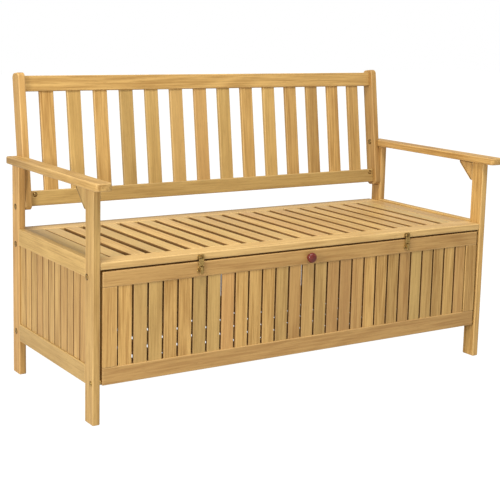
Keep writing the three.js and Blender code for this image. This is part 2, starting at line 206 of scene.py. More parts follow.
woodFinishes = {
    "oiled wood": {
        "pale": (0.60, 0.370, 0.122),
        "dark": (0.33, 0.170, 0.042),
        "rosy": (0.49, 0.262, 0.095),
        "straw": (0.46, 0.325, 0.112),
        # painted highlight on the eased edges of the boards
        "edge": (0.70, 0.50, 0.235),
        "edgeHighlightShow": 0.17,
        # painted shade on the faces that look into the gaps between boards
        "joint": (0.080, 0.024, 0.003),
        "jointShadeShow": 0.90,
        "rings": 0.28,
        "streaks": 0.62,
        "roughness": 0.46,
        "bump": 0.22,
    },
    # a paler copy of the oiled wood for the seat: the paleness paints the light that falls on its top
    "seat wood painted light": {
        "pale": (0.65, 0.43, 0.165),
        "dark": (0.40, 0.225, 0.070),
        "rosy": (0.54, 0.31, 0.130),
        "straw": (0.53, 0.39, 0.150),
        # painted highlight on the eased edges of the boards
        "edge": (0.70, 0.51, 0.25),
        "edgeHighlightShow": 0.18,
        # painted shade on the faces that look into the gaps between boards
        "joint": (0.190, 0.080, 0.016),
        "jointShadeShow": 0.82,
        "rings": 0.18,
        "streaks": 0.55,
        "roughness": 0.44,
        "bump": 0.18,
    },
}


woodPattern = {
    # how far each pattern is stretched: along the grain, across it, through it
    "ringStretch": (1.1, 11, 11),
    "ringCount": 42,
    "streakStretch": (7, 230, 230),
    "poreStretch": (40, 950, 950),
    "cloudStretch": (2.5, 14, 14),
    "cloudShow": 0.16,
    "poreShow": 0.30,
    "poreDarkness": 0.45,
    "rosyShow": 0.75,
    "strawShow": 0.6,
    "lightest": 1.13,
    "darkest": 0.87,
    "specular": 0.3,
    "bumpDistance": 0.0006,
}


# growth rings are a sine of slow noise, streaks are noise drawn out along the board, and pores are short
# dark dashes; every board carries its own place in the pattern and its own tone
def makeWood(name, finish, pattern):
    material, shade, shader = newMaterial(name)
    grain = shade.node("ShaderNodeAttribute", {"attribute_name": "grain"}, {}, "Vector")
    tone = shade.node("ShaderNodeAttribute", {"attribute_name": "boardTone"}, {}, "Vector")
    edge = shade.node("ShaderNodeAttribute", {"attribute_name": "easedEdge"}, {}, "Fac")
    joint = shade.node("ShaderNodeAttribute", {"attribute_name": "paintedShadeFace"}, {}, "Fac")
    slow = grain.stretched(*pattern["ringStretch"]).noise(1.0, 2.0, 0.5, 0.6)
    rings = (slow * pattern["ringCount"]).sine() * 0.5 + 0.5
    streaks = grain.stretched(*pattern["streakStretch"]).noise(1.0, 4.0, 0.6, 0.2)
    pores = grain.stretched(*pattern["poreStretch"]).noise(1.0, 1.0).step(0.60, 0.72)
    cloud = grain.stretched(*pattern["cloudStretch"]).noise(1.0, 2.0).step(0.35, 0.75)
    poreColour = tuple(c * pattern["poreDarkness"] for c in finish["dark"])
    depth = (rings * finish["rings"] + streaks.step(0.28, 0.72) * finish["streaks"]).step(0.0, 1.0)
    colour = depth.blend(finish["pale"], finish["dark"])
    colour = (tone.part(1) * pattern["rosyShow"]).blend(colour, finish["rosy"])
    colour = (tone.part(2) * pattern["strawShow"]).blend(colour, finish["straw"])
    colour = (cloud * pattern["cloudShow"]).blend(colour, finish["dark"])
    colour = (pores * pattern["poreShow"]).blend(colour, poreColour)
    # painted highlight: eased edges outside the shaded faces are lightened toward the edge colour
    colour = (edge * (1 - joint) * finish["edgeHighlightShow"]).blend(colour, finish["edge"])
    # painted shade: faces that look into the gaps are darkened toward the joint colour
    colour = (joint * finish["jointShadeShow"]).blend(colour, finish["joint"])
    # each board's own lightness multiplies its colour
    light = tone.part(0) * (pattern["lightest"] - pattern["darkest"]) + pattern["darkest"]
    grey = shade.node("ShaderNodeCombineXYZ", {}, {0: light, 1: light, 2: light})
    multiply = {"data_type": "RGBA", "blend_type": "MULTIPLY"}
    colour = shade.node("ShaderNodeMix", multiply, {0: 1.0, 6: colour, 7: grey}, 2)
    feed(shade, shader, "Base Color", colour)
    rough = streaks * 0.16 + pores * 0.12 + joint * 0.35 + (finish["roughness"] - 0.08)
    feed(shade, shader, "Roughness", rough)
    height = streaks * 0.5 - pores * 0.6
    relief = {"Strength": finish["bump"], "Distance": pattern["bumpDistance"], "Height": height}
    feed(shade, shader, "Normal", shade.node("ShaderNodeBump", {}, relief))
    shader.inputs["Specular IOR Level"].default_value = pattern["specular"]
    return material


brassFinish = {
    "bright": (0.62, 0.42, 0.145),
    "dull": (0.25, 0.145, 0.042),
    # painted shade for the bolts' sockets and the rings round them
    "sunkShade": (0.100, 0.034, 0.010),
    "roughness": 0.34,
    "tarnishSize": 420,  # patches to the metre
    "fineSize": 2600,
}


# patches of noise turn bright metal dull and rough; the marked faces of sockets and rings are painted dark as
# shade
def makeBrass(name, finish):
    material, shade, shader = newMaterial(name)
    place = shade.node("ShaderNodeTexCoord", {}, {}, "Object")
    sunkShade = shade.node("ShaderNodeAttribute", {"attribute_name": "paintedShadeFace"}, {}, "Fac")
    tarnish = place.noise(finish["tarnishSize"], 4.0, 0.6).step(0.35, 0.68)
    fine = place.noise(finish["fineSize"], 2.0, 0.6)
    # marked faces take the painted shade colour
    colour = sunkShade.blend(tarnish.blend(finish["bright"], finish["dull"]), finish["sunkShade"])
    feed(shade, shader, "Base Color", colour)
    feed(shade, shader, "Roughness", tarnish * 0.22 + fine * 0.1 + (finish["roughness"] - 0.05))
    relief = {"Strength": 0.25, "Distance": 0.0002, "Height": fine}
    feed(shade, shader, "Normal", shade.node("ShaderNodeBump", {}, relief))
    shader.inputs["Metallic"].default_value = 1.0
    return material


knobFinish = {
    "red": (0.200, 0.028, 0.018),
    "deep": (0.075, 0.010, 0.007),
    "roughness": 0.36,
    "specular": 0.3,
    "coat": 0.2,
    "coatRoughness": 0.06,
    "streakStretch": (60, 900, 420),
}


# fine streaks run through a red stain under a thin clear coat
def makeKnobFinish(name, finish):
    material, shade, shader = newMaterial(name)
    place = shade.node("ShaderNodeTexCoord", {}, {}, "Object")
    streaks = place.stretched(*finish["streakStretch"]).noise(1.0, 3.0, 0.6, 0.5)
    feed(shade, shader, "Base Color", streaks.step(0.3, 0.7).blend(finish["red"], finish["deep"]))
    feed(shade, shader, "Roughness", streaks * 0.12 + (finish["roughness"] - 0.06))
    relief = {"Strength": 0.1, "Distance": 0.0002, "Height": streaks}
    feed(shade, shader, "Normal", shade.node("ShaderNodeBump", {}, relief))
    shader.inputs["Specular IOR Level"].default_value = finish["specular"]
    shader.inputs["Coat Weight"].default_value = finish["coat"]
    shader.inputs["Coat Roughness"].default_value = finish["coatRoughness"]
    return material


floorFinish = {"reach": 14.0, "colour": (0.6, 0.6, 0.6), "roughness": 0.9, "glow": 0.90, "white": 1.14}


# one square sheet; the camera sees it mixed with plain white, so it shows whiter than it reflects
def makeFloor(finish):
    r = finish["reach"]
    mesh = bpy.data.meshes.new("floor")
    mesh.from_pydata([(-r, -r, 0), (r, -r, 0), (r, r, 0), (-r, r, 0)], [], [(0, 1, 2, 3)])
    material, shade, shader = newMaterial("floor")
    shader.inputs["Base Color"].default_value = (*finish["colour"], 1)
    shader.inputs["Roughness"].default_value = finish["roughness"]
    seen = shade.node("ShaderNodeLightPath") * finish["glow"]
    white = shade.node("ShaderNodeEmission", {}, {"Strength": finish["white"]})
    mix = shade.tree.nodes.new("ShaderNodeMixShader")
    shade.tree.links.new(seen.socket, mix.inputs[0])
    shade.tree.links.new(shader.outputs[0], mix.inputs[1])
    shade.tree.links.new(white.socket, mix.inputs[2])
    shade.tree.links.new(mix.outputs[0], shade.tree.nodes["Material Output"].inputs["Surface"])
    mesh.materials.append(material)
    floor = bpy.data.objects.new("floor", mesh)
    bpy.context.scene.collection.objects.link(floor)


makeFloor(floorFinish)
oiledWood = makeWood("oiled wood", woodFinishes["oiled wood"], woodPattern)
seatWoodPaintedLight = makeWood("seat wood painted light", woodFinishes["seat wood painted light"], woodPattern)
agedBrass = makeBrass("aged brass", brassFinish)
knobWood = makeKnobFinish("knob wood", knobFinish)
print("materials made")


cornerSteps = 3
supportLine = 0.5 * mm  # extra line beside each rounding, so the flats stay flat
smallestRound = 0.12 * mm
mostEase = 0.45  # of a board's thinnest side
jointShadeStart, jointShadeFull = 0.45, 0.90  # how squarely a face looks along the axis beside as painted shade darkens it
closestPoints = 0.05 * mm
plainTone = np.array([0.5, 0, 0])
toneDice = np.random.default_rng(41)


# a board's lightness, rosiness and strawness, and its own place in the grain pattern
def newTone(spread=1.0):
    lightness = 0.5 + (toneDice.random() - 0.5) * spread
    rosy = max(0.0, toneDice.random() - 0.55) * 1.7 * spread
    straw = max(0.0, toneDice.random() - 0.4) * 1.5 * spread
    return np.array([lightness, min(rosy, 1), min(straw, 1)]), toneDice.uniform(-6, 6, 3)


# a rounded rectangle carried along a board's length: at each end it shrinks on a quarter circle of radius
# ease, and on the flats one more line runs beside every rounding; the faces square to the axis beside are
# marked for painted shade, as shade falls in the gaps between boards
def boardMesh(low, high, along, ease, tone=None, beside=None):
    low, high = np.array(low, float), np.array(high, float)
    size = high - low
    b, c = [(1, 2), (2, 0), (0, 1)][along]
    ease = min(ease, mostEase * min(size))
    turn = np.linspace(0, math.pi / 2, cornerSteps + 1)
    inset = np.concatenate([[ease + supportLine], ease * (1 - np.sin(turn)), [0.0]])
    run = np.concatenate([[0.0], ease * (1 - np.cos(turn)), [ease + supportLine]])
    inset = np.concatenate([inset, inset[::-1]])
    run = np.concatenate([run, size[along] - run[::-1]])
    perCorner = cornerSteps + 3  # the arc's points and one more at each end
    signB = np.repeat([1, -1, -1, 1], perCorner)
    signC = np.repeat([1, 1, -1, -1], perCorner)
    corner = np.concatenate([turn[:1], turn, turn[-1:]])
    angle = np.concatenate([corner + q * math.pi / 2 for q in range(4)])
    # the extra points slide along the flats beside their arc
    before = np.zeros(perCorner)
    after = before.copy()
    before[0], after[-1] = supportLine, supportLine
    slideB = np.concatenate([-after, before, after, -before])
    slideC = np.concatenate([-before, -after, before, after])
    half = size / 2
    radius = np.maximum(ease - inset, smallestRound)[:, None]
    cos, sin = np.cos(angle)[None, :], np.sin(angle)[None, :]
    spanB = (half[b] - inset)[:, None] - radius
    spanC = (half[c] - inset)[:, None] - radius
    points = np.zeros((len(run), len(angle), 3))
    points[:, :, along] = run[:, None] + low[along]
    points[:, :, b] = signB * spanB + radius * cos + slideB + (low[b] + half[b])
    points[:, :, c] = signC * spanC + radius * sin + slideC + (low[c] + half[c])
    arc = np.tile(np.concatenate([[0], np.ones(cornerSteps + 1), [0]]), 4)
    eased = np.tile(arc, (len(run), 1))
    eased[1:cornerSteps + 2] = 1
    eased[-cornerSteps - 2:-1] = 1
    tone, offset = newTone() if tone is None else tone
    grain = (points - (low + half))[:, :, [along, b, c]] + offset
    facing = np.zeros(len(angle))
    if beside is not None:
        facing = np.abs(np.cos(angle) if beside == b else np.sin(angle))
    # how much painted shade each face gets, as shade falls into the gaps
    paintedShade = np.clip((facing - jointShadeStart) / (jointShadeFull - jointShadeStart), 0, 1)
    paintedShade = np.broadcast_to(paintedShade, points.shape[:2])
    return gridMesh(points, grain, eased, tone, paintedShade)


# a grid of points closed round its second direction and capped at both ends of its first
def gridMesh(points, grain, eased, tone, paintedShade=None):
    rows, columns = points.shape[:2]
    index = np.arange(rows * columns).reshape(rows, columns)
    after = np.roll(index, -1, axis=1)
    quads = np.stack([index[:-1], after[:-1], after[1:], index[1:]], axis=-1).reshape(-1, 4)
    return {
        "points": points.reshape(-1, 3),
        "grain": grain.reshape(-1, 3),
        "eased": eased.reshape(-1),
        "paintedShade": np.zeros(rows * columns) if paintedShade is None else paintedShade.reshape(-1),
        "tone": np.tile(tone, (rows * columns, 1)),
        "quads": quads,
        "caps": [index[0][::-1], index[-1]],
    }


# an outline with its corners rounded to the given radii, as points running anticlockwise
def roundedOutline(corners, radii, steps=4):
    corners = np.array(corners, float)
    radii = np.broadcast_to(np.array(radii, float), (len(corners),))
    before, after = np.roll(corners, 1, axis=0), np.roll(corners, -1, axis=0)
    toBefore, toAfter = before - corners, after - corners
    toBefore /= np.linalg.norm(toBefore, axis=1)[:, None]
    toAfter /= np.linalg.norm(toAfter, axis=1)[:, None]
    t = np.linspace(0, 1, steps + 1)[None, :, None]
    start = (corners + toBefore * radii[:, None])[:, None, :]
    end = (corners + toAfter * radii[:, None])[:, None, :]
    middle = corners[:, None, :]
    curve = (1 - t) ** 2 * start + 2 * t * (1 - t) * (middle * 0.6 + (start + end) * 0.2) + t ** 2 * end
    points = curve.reshape(-1, 2)
    points = points[np.linalg.norm(points - np.roll(points, 1, axis=0), axis=1) > closestPoints]
    x, y = points.T
    area = (x * np.roll(y, -1) - np.roll(x, -1) * y).sum()
    return points if area > 0 else points[::-1]


# the outline carried straight through a thickness; near both faces it is drawn in on a quarter circle,
# each point moving along the mitre of its two edges
def plankMesh(outline, low, high, axes, ease, grainAlong=0):
    outline = np.array(outline, float)
    edge = np.roll(outline, -1, axis=0) - outline
    edge /= np.linalg.norm(edge, axis=1)[:, None]
    normal = np.stack([edge[:, 1], -edge[:, 0]], axis=1)
    last = np.roll(normal, 1, axis=0)
    mitre = (normal + last) / (1 + (normal * last).sum(axis=1))[:, None]
    turn = np.linspace(0, math.pi / 2, cornerSteps + 1)
    inset = np.concatenate([[ease + supportLine], ease * (1 - np.sin(turn)), [0.0]])
    run = np.concatenate([[0.0], ease * (1 - np.cos(turn)), [ease + supportLine]])
    inset = np.concatenate([inset, inset[::-1]])
    run = np.concatenate([run, (high - low) - run[::-1]])
    first, second, through = axes
    points = np.zeros((len(run), len(outline), 3))
    flat = outline[None, :, :] - mitre[None, :, :] * inset[:, None, None]
    points[:, :, first], points[:, :, second] = flat[:, :, 0], flat[:, :, 1]
    points[:, :, through] = low + run[:, None]
    eased = np.zeros(points.shape[:2])
    eased[1:cornerSteps + 2] = 1
    eased[-cornerSteps - 2:-1] = 1
    tone, offset = newTone()
    others = [a for a in range(3) if a != grainAlong]
    grain = points[:, :, [grainAlong, *others]] + offset
    made = gridMesh(points, grain, eased, tone)
    if [first, second, through] not in ([0, 1, 2], [1, 2, 0], [2, 0, 1]):
        made = flipped(made)
    return made


# the same points with every face turned over
def flipped(made):
    return {**made, "quads": made["quads"][:, ::-1], "caps": [cap[::-1] for cap in made["caps"]]}


# a profile of (radius, height) pairs swept round an axis through centre; height runs along direction, and
# the last argument marks the rows of the profile that are painted dark as shade
def turnedMesh(profile, centre, direction, axis, sides, sunkShade=None):
    profile = np.array(profile, float)
    angle = np.linspace(0, 2 * math.pi, sides, endpoint=False)
    first, second = [(1, 2), (2, 0), (0, 1)][axis]
    points = np.zeros((len(profile), sides, 3))
    points[:, :, axis] = centre[axis] + direction * profile[:, 1][:, None]
    points[:, :, first] = centre[first] + profile[:, 0][:, None] * np.cos(angle)
    points[:, :, second] = centre[second] + profile[:, 0][:, None] * np.sin(angle)
    paintedShade = None if sunkShade is None else np.repeat(np.array(sunkShade, float)[:, None], sides, axis=1)
    made = gridMesh(points, points.copy(), np.zeros(points.shape[:2]), plainTone, paintedShade)
    return flipped(made) if direction < 0 else made


# a round section carried along a path; at each point the section stands across the path's direction
def wireMesh(path, radius, sides=12):
    path = np.array(path, float)
    ahead = np.gradient(path, axis=0)
    ahead /= np.linalg.norm(ahead, axis=1)[:, None]
    side = np.cross(ahead, [0, 1.0, 0])
    side /= np.linalg.norm(side, axis=1)[:, None]
    other = np.cross(ahead, side)
    angle = np.linspace(0, 2 * math.pi, sides, endpoint=False)[None, :, None]
    ring = np.cos(angle) * side[:, None, :] + np.sin(angle) * other[:, None, :]
    points = path[:, None, :] + radius * ring
    return gridMesh(points, points.copy(), np.zeros(points.shape[:2]), plainTone)


# the back leans: its meshes are made upright in (x, depth, height along the stile), then laid back
def lean(made, foot, angle):
    points = made["points"].copy()
    depth, rise = points[:, 1].copy(), points[:, 2].copy()
    points[:, 1] = foot[0] + depth * math.cos(angle) + rise * math.sin(angle)
    points[:, 2] = foot[1] - depth * math.sin(angle) + rise * math.cos(angle)
    return {**made, "points": points}


# joins parts into one object, gives it its attributes, and says which body it rides and what it replaces
def makePiece(name, parts, material, body, replaces=()):
    starts = np.cumsum([0] + [len(p["points"]) for p in parts])
    points = np.concatenate([p["points"] for p in parts])
    faces = []
    for start, part in zip(starts, parts):
        faces.extend((part["quads"] + start).tolist())
        faces.extend((cap + start).tolist() for cap in part["caps"])
    mesh = bpy.data.meshes.new(name)
    mesh.from_pydata(points.tolist(), [], faces)
    for label, key in (("grain", "grain"), ("boardTone", "tone")):
        data = mesh.attributes.new(label, "FLOAT_VECTOR", "POINT")
        data.data.foreach_set("vector", np.concatenate([p[key] for p in parts]).astype(np.float32).ravel())
    # the eased edges carry a painted highlight, and the marked faces carry painted shade
    for label, key in (("easedEdge", "eased"), ("paintedShadeFace", "paintedShade")):
        data = mesh.attributes.new(label, "FLOAT", "POINT")
        data.data.foreach_set("value", np.concatenate([p[key] for p in parts]).astype(np.float32))
    mesh.shade_smooth()
    mesh.materials.append(material)
    mesh.update()
    piece = bpy.data.objects.new(name, mesh)
    bpy.context.scene.collection.objects.link(piece)
    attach(piece, body)
    if replaces:
        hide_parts(*replaces)


# a board as large as the box of a node
def boardFor(node, along, ease):
    low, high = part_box(node)
    return boardMesh(low, high, along, ease)


# places at one pitch either side of zero
def spread(count, pitch):
    return (np.arange(count) - (count - 1) / 2) * pitch


# the faces that other pieces are placed from
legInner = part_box("front_leg_right")[0].x
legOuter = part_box("front_leg_right")[1].x
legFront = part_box("front_leg_right")[0].y

plainBoards = {
    # node: axis the grain runs along, rounding of the edges, material
    "rear_leg_left": (2, 2.6, oiledWood), "rear_leg_right": (2, 2.6, oiledWood),
    "front_leg_left": (2, 2.6, oiledWood), "front_leg_right": (2, 2.6, oiledWood),
    "side_apron_left": (1, 2.2, oiledWood), "side_apron_right": (1, 2.2, oiledWood),
    "side_lower_rail_left": (1, 2.2, oiledWood), "side_lower_rail_right": (1, 2.2, oiledWood),
    "front_upper_rail": (0, 2.0, oiledWood), "front_lower_rail": (0, 2.0, oiledWood),
    "rear_upper_rail": (0, 2.0, oiledWood), "rear_lower_rail": (0, 2.0, oiledWood),
    "seat_front_board": (0, 3.0, seatWoodPaintedLight), "seat_rear_board": (0, 3.0, seatWoodPaintedLight),
    "seat_end_board_left": (1, 2.2, seatWoodPaintedLight), "seat_end_board_right": (1, 2.2, seatWoodPaintedLight),
    "flap_top_rail": (0, 2.2, oiledWood), "flap_bottom_rail": (0, 2.2, oiledWood),
    "flap_stile_left": (2, 1.2, oiledWood), "flap_stile_right": (2, 1.2, oiledWood),
}

for node, (along, ease, material) in plainBoards.items():
    body = "flap" if node.startswith("flap") else "frame"
    makePiece(node + "_board", [boardFor(node, along, ease * mm)], material, body, (node,))
print("plain boards made")


seatRow = {
    "count": 20,
    "gap": 17 * mm,
    "thickness": 19 * mm,
    "ease": 2.4 * mm,
    "endGap": 1.6 * mm,  # board ends to the rear board
    "battens": 3,
    "battenWidth": 30 * mm,
    "battenEase": 1.5 * mm,
}
sideRow = {
    "count": 11,
    "gap": 3.5 * mm,
    "ease": 1.8 * mm,
    "tongue": 4 * mm,  # from a board's face in to its tongue
    "tongueEase": 0.5 * mm,
    "spread": 0.45,
}
panelRow = {"flapCount": 27, "rearCount": 29, "gap": 4.5 * mm, "ease": 1.5 * mm}
floorRow = {
    "count": 16,
    "width": 50 * mm,
    "thickness": 12 * mm,
    "ease": 2.0 * mm,
    "endGap": 7.75 * mm,  # first and last slats to the box's inner faces
    "bearerWidth": 20 * mm,
    "bearerEase": 1.5 * mm,
}


# boards front to back at one pitch, on battens that run along the bench
def makeSeat(row):
    low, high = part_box("seat_boards")
    top, end = high.z, high.y - row["endGap"]
    under = top - row["thickness"]
    pitch = (high.x - low.x + row["gap"]) / row["count"]
    half = (pitch - row["gap"]) / 2
    parts = []
    for x in spread(row["count"], pitch):
        # the boards' sides in the gaps get painted shade
        parts.append(boardMesh((x - half, low.y, under), (x + half, end, top), 1, row["ease"], beside=0))
    middle, reach = (low.y + high.y) / 2, (high.y - low.y) / row["battens"]
    half = row["battenWidth"] / 2
    for y in middle + spread(row["battens"], reach):
        parts.append(boardMesh((low.x, y - half, low.z), (high.x, y + half, under), 0, row["battenEase"]))
    makePiece("seat_board_row", parts, seatWoodPaintedLight, "frame", ("seat_boards",))


# upright boards side by side, with one thin sheet behind them that stands for their tongues
def makeSides(row):
    for side in ("left", "right"):
        low, high = (np.array(corner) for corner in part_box("side_boards_" + side))
        pitch = (high[1] - low[1]) / row["count"]
        parts = []
        for i in range(row["count"]):
            start = low[1] + i * pitch + row["gap"] / 2
            corners = (low[0], start, low[2]), (high[0], start + pitch - row["gap"], high[2])
            # the boards' sides in the gaps get painted shade
            parts.append(boardMesh(*corners, 2, row["ease"], newTone(row["spread"]), beside=1))
        inward = np.array([row["tongue"], row["tongueEase"], 0])
        # the sheet's faces seen through the gaps are painted dark as shade
        parts.append(boardMesh(low + inward, high - inward, 2, row["tongueEase"], beside=0))
        makePiece("side_board_row_" + side, parts, oiledWood, "frame", ("side_boards_" + side,))


# upright slats at one pitch across a node's box
def makePanel(name, node, count, body, row):
    low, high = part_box(node)
    pitch = (high.x - low.x + row["gap"]) / count
    half = (pitch - row["gap"]) / 2
    middle = (low.x + high.x) / 2
    parts = []
    for x in middle + spread(count, pitch):
        corners = (x - half, low.y, low.z), (x + half, high.y, high.z)
        # the slats' sides in the gaps get painted shade
        parts.append(boardMesh(*corners, 2, row["ease"], beside=0))
    makePiece(name, parts, oiledWood, body, (node,))


# slats front to back at one pitch, on a bearer at each rail
def makeFloorSlats(row):
    low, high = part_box("floor_slats")
    under = high.z - row["thickness"]
    pitch = (2 * (legInner - row["endGap"]) - row["width"]) / (row["count"] - 1)
    half = row["width"] / 2
    parts = []
    for x in spread(row["count"], pitch):
        parts.append(boardMesh((x - half, low.y, under), (x + half, high.y, high.z), 1, row["ease"]))
    for y in (low.y, high.y - row["bearerWidth"]):
        corners = (low.x, y, low.z), (high.x, y + row["bearerWidth"], under)
        parts.append(boardMesh(*corners, 0, row["bearerEase"]))
    makePiece("floor_slat_row", parts, oiledWood, "frame", ("floor_slats",))


makeSeat(seatRow)
makeSides(sideRow)
makePanel("flap_slat_row", "flap_slats", panelRow["flapCount"], "flap", panelRow)
makePanel("rear_slat_row", "rear_slats", panelRow["rearCount"], "frame", panelRow)
makeFloorSlats(floorRow)
print("seat, side, panel and floor boards made")


armStyle = {
    "ease": 3.2 * mm,
    # the two front corners, the two of the notch, the two rear corners
    "rounds": np.array([9, 9, 4, 0.5, 3, 5]) * mm,
    "notchClearance": 0.3 * mm,
}
braceStyle = {
    "ease": 2.2 * mm,
    "nose": 7 * mm,  # width of its blunt ends
    "rounds": np.array([1, 3, 3, 1, 0.6]) * mm,
}


# a flat board with rounded corners, notched round the leaning stile where it passes the arm
def makeArms(style):
    slope = math.tan(leaningBack["angle"])
    for side, sign in (("left", -1), ("right", 1)):
        low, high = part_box("armrest_" + side)
        outer = low.x if sign < 0 else high.x
        inner = high.x if sign < 0 else low.x
        notchX = sign * legInner
        notchY = leaningBack["foot"][0] + (low.z - leaningBack["foot"][1]) * slope - style["notchClearance"]
        corners = [
            (outer, low.y), (inner, low.y), (inner, notchY),
            (notchX, notchY), (notchX, high.y), (outer, high.y),
        ]
        outline = roundedOutline(corners, style["rounds"], 5)
        arm = plankMesh(outline, low.z, high.z, (0, 1, 2), style["ease"], grainAlong=1)
        makePiece("armrest_board_" + side, [arm], oiledWood, "frame", ("armrest_" + side,))


# a triangle between leg and arm, its two sharp ends cut blunt
def makeBraces(style):
    nose = style["nose"]
    for side in ("left", "right"):
        low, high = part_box("arm_brace_" + side)
        corners = [
            (low.y, low.z), (low.y + nose, low.z), (high.y, high.z - nose), (high.y, high.z), (low.y, high.z),
        ]
        outline = roundedOutline(corners, style["rounds"])
        brace = plankMesh(outline, low.x, high.x, (1, 2, 0), style["ease"], grainAlong=2)
        makePiece("arm_brace_block_" + side, [brace], oiledWood, "frame", ("arm_brace_" + side,))


leaningBack = {
    "angle": math.radians(7.54),
    "foot": (legFront + 469 * mm, 463.5 * mm),
    "stileDepth": 45 * mm,
    "stileLength": 375 * mm,
    "stileRound": 11 * mm,
    # depths and heights are measured in the leaning back, from the stile's foot
    "railDepth": (12.5 * mm, 32.5 * mm),
    "topRail": (323.5 * mm, 366.5 * mm),
    "bottomRail": (8.5 * mm, 50.5 * mm),
    "slatDepth": (16.5 * mm, 28.5 * mm),
    "slats": 14,
    "slatWidth": 41 * mm,
    "slatPitch": 82 * mm,
    "slatReach": 5 * mm,  # slat ends are let into the rails
    "slatEase": 2.0 * mm,
    "ease": 2.6 * mm,
}


# stiles, rails and slats are made upright, then leant together about the stiles' foot
def makeBack(back):
    foot, angle, ease = back["foot"], back["angle"], back["ease"]
    depth, length = back["stileDepth"], back["stileLength"]
    stileOutline = roundedOutline([(0, 0), (depth, 0), (depth, length), (0, length)], back["stileRound"], 6)
    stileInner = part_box("back_stile_right")[0].x
    for side in ("left", "right"):
        low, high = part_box("back_stile_" + side)
        stile = plankMesh(stileOutline, low.x, high.x, (1, 2, 0), ease, grainAlong=2)
        node = "back_stile_" + side
        makePiece("back_stile_board_" + side, [lean(stile, foot, angle)], oiledWood, "frame", (node,))
    near, far = back["railDepth"]
    for node, (bottom, top) in (("back_top_rail", back["topRail"]), ("back_bottom_rail", back["bottomRail"])):
        rail = boardMesh((-stileInner, near, bottom), (stileInner, far, top), 0, ease)
        makePiece(node + "_board", [lean(rail, foot, angle)], oiledWood, "frame", (node,))
    near, far = back["slatDepth"]
    bottom, top = back["bottomRail"][1] - back["slatReach"], back["topRail"][0] + back["slatReach"]
    half = back["slatWidth"] / 2
    for i, x in enumerate(spread(back["slats"], back["slatPitch"])):
        slat = boardMesh((x - half, near, bottom), (x + half, far, top), 2, back["slatEase"])
        node = f"back_slat_{i + 1:02d}"
        makePiece(node + "_board", [lean(slat, foot, angle)], oiledWood, "frame", (node,))


makeArms(armStyle)
makeBraces(braceStyle)
makeBack(leaningBack)
print("arms and back made")


knobShape = {
    # radius, height over the flap: a flat foot, a short neck and a ball
    "profile": [
        (0.2, 0.0), (8.0, 0.0), (8.6, 0.6), (8.3, 1.8), (7.9, 3.2), (8.8, 4.6),
        (11.0, 6.2), (12.8, 8.2), (13.8, 10.4), (14.0, 12.4), (13.6, 14.4), (12.6, 16.4),
        (11.0, 18.2), (8.8, 19.6), (6.2, 20.5), (3.2, 20.9), (0.2, 21.0),
    ],
    "sides": 40,
}


def makeKnob(shape):
    low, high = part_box("knob")
    centre = ((low.x + high.x) / 2, high.y, (low.z + high.z) / 2)
    knob = turnedMesh(np.array(shape["profile"]) * mm, centre, -1, 1, shape["sides"])
    makePiece("knob_turning", [knob], knobWood, "flap", ("knob",))


pivotShape = {
    "headRadius": 6.5,
    "headHeight": 2.5,
    "spacerRadius": 6.5,
    "shankRadius": 3.0,
    "clearance": 0.3,  # spacer to the flap
    "sides": 24,
    "shankSides": 20,
}


# a domed head outside the leg, a spacer between leg and flap, and a shank through both into the flap
def makePivots(shape):
    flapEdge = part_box("flap_stile_right")[1].x + shape["clearance"] * mm
    sides = shape["sides"]
    r, h = shape["headRadius"], shape["headHeight"]
    head = [
        (0.1, h), (1.6, h), (1.9, h - 0.9), (2.1, h - 0.9), (2.3, h), (r * 0.62, h * 0.94),
        (r * 0.86, h * 0.66), (r, h * 0.28), (r, 0.0), (3.0, -0.02), (0.1, -0.04),
    ]
    s, length = shape["spacerRadius"], (legInner - flapEdge) / mm
    spacer = [(0.1, 0.0), (s - 0.5, 0.0), (s, 0.5), (s, length - 0.5), (s - 0.5, length), (0.1, length)]
    k = shape["shankRadius"]
    for side, sign in (("left", -1), ("right", 1)):
        low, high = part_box("flap_pivot_bolt_" + side)
        y, z = (low.y + high.y) / 2, (low.z + high.z) / 2
        tip = abs(low.x if sign > 0 else high.x)
        reach = (legOuter - tip) / mm
        rod = [(0.1, 0.0), (k - 0.4, 0.0), (k, 0.5), (k, reach + 0.5), (0.1, reach + 1.0)]
        parts = [
            turnedMesh(np.array(head)[::-1] * mm, (sign * legOuter, y, z), sign, 0, sides),
            turnedMesh(np.array(spacer) * mm, (sign * flapEdge, y, z), sign, 0, sides),
            turnedMesh(np.array(rod) * mm, (sign * tip, y, z), sign, 0, shape["shankSides"]),
        ]
        makePiece("flap_pivot_" + side, parts, agedBrass, "frame", ("flap_pivot_bolt_" + side,))


boltStyle = {
    "radius": 8.2,
    "nutRadius": 6.56,
    # behind the legs' front faces, height from the floor
    "leg": [(34.5, 368), (493.5, 471), (493.5, 367), (493.5, 120)],
    "stile": (511, 599),
    "armSunk": 1.5,  # nut at the end of an arm, in from the arm's side
    # from the middle of the bench, up the leaning back
    "railEnd": (585.4, 40.3),
    "sides": 20,
}


# a low dome with a socket, in a ring let into the wood; socket and ring are painted dark as shade
def boltMesh(centre, direction, axis, r, sides):
    # radius, height, how much painted shade
    rows = [
        (0.1, -1.0, 1), (1.8, -1.0, 1), (2.3, 1.1, 0.5), (r * 0.45, 1.3, 0), (r * 0.62, 1.1, 0),
        (r * 0.76, 0.5, 0.3), (r * 0.80, 0.15, 1), (r, 0.12, 1), (r, -0.6, 1), (0.1, -1.6, 1),
    ]
    rows = np.array(rows)[::-1]
    return turnedMesh(rows[:, :2] * mm, centre, direction, axis, sides, rows[:, 2])


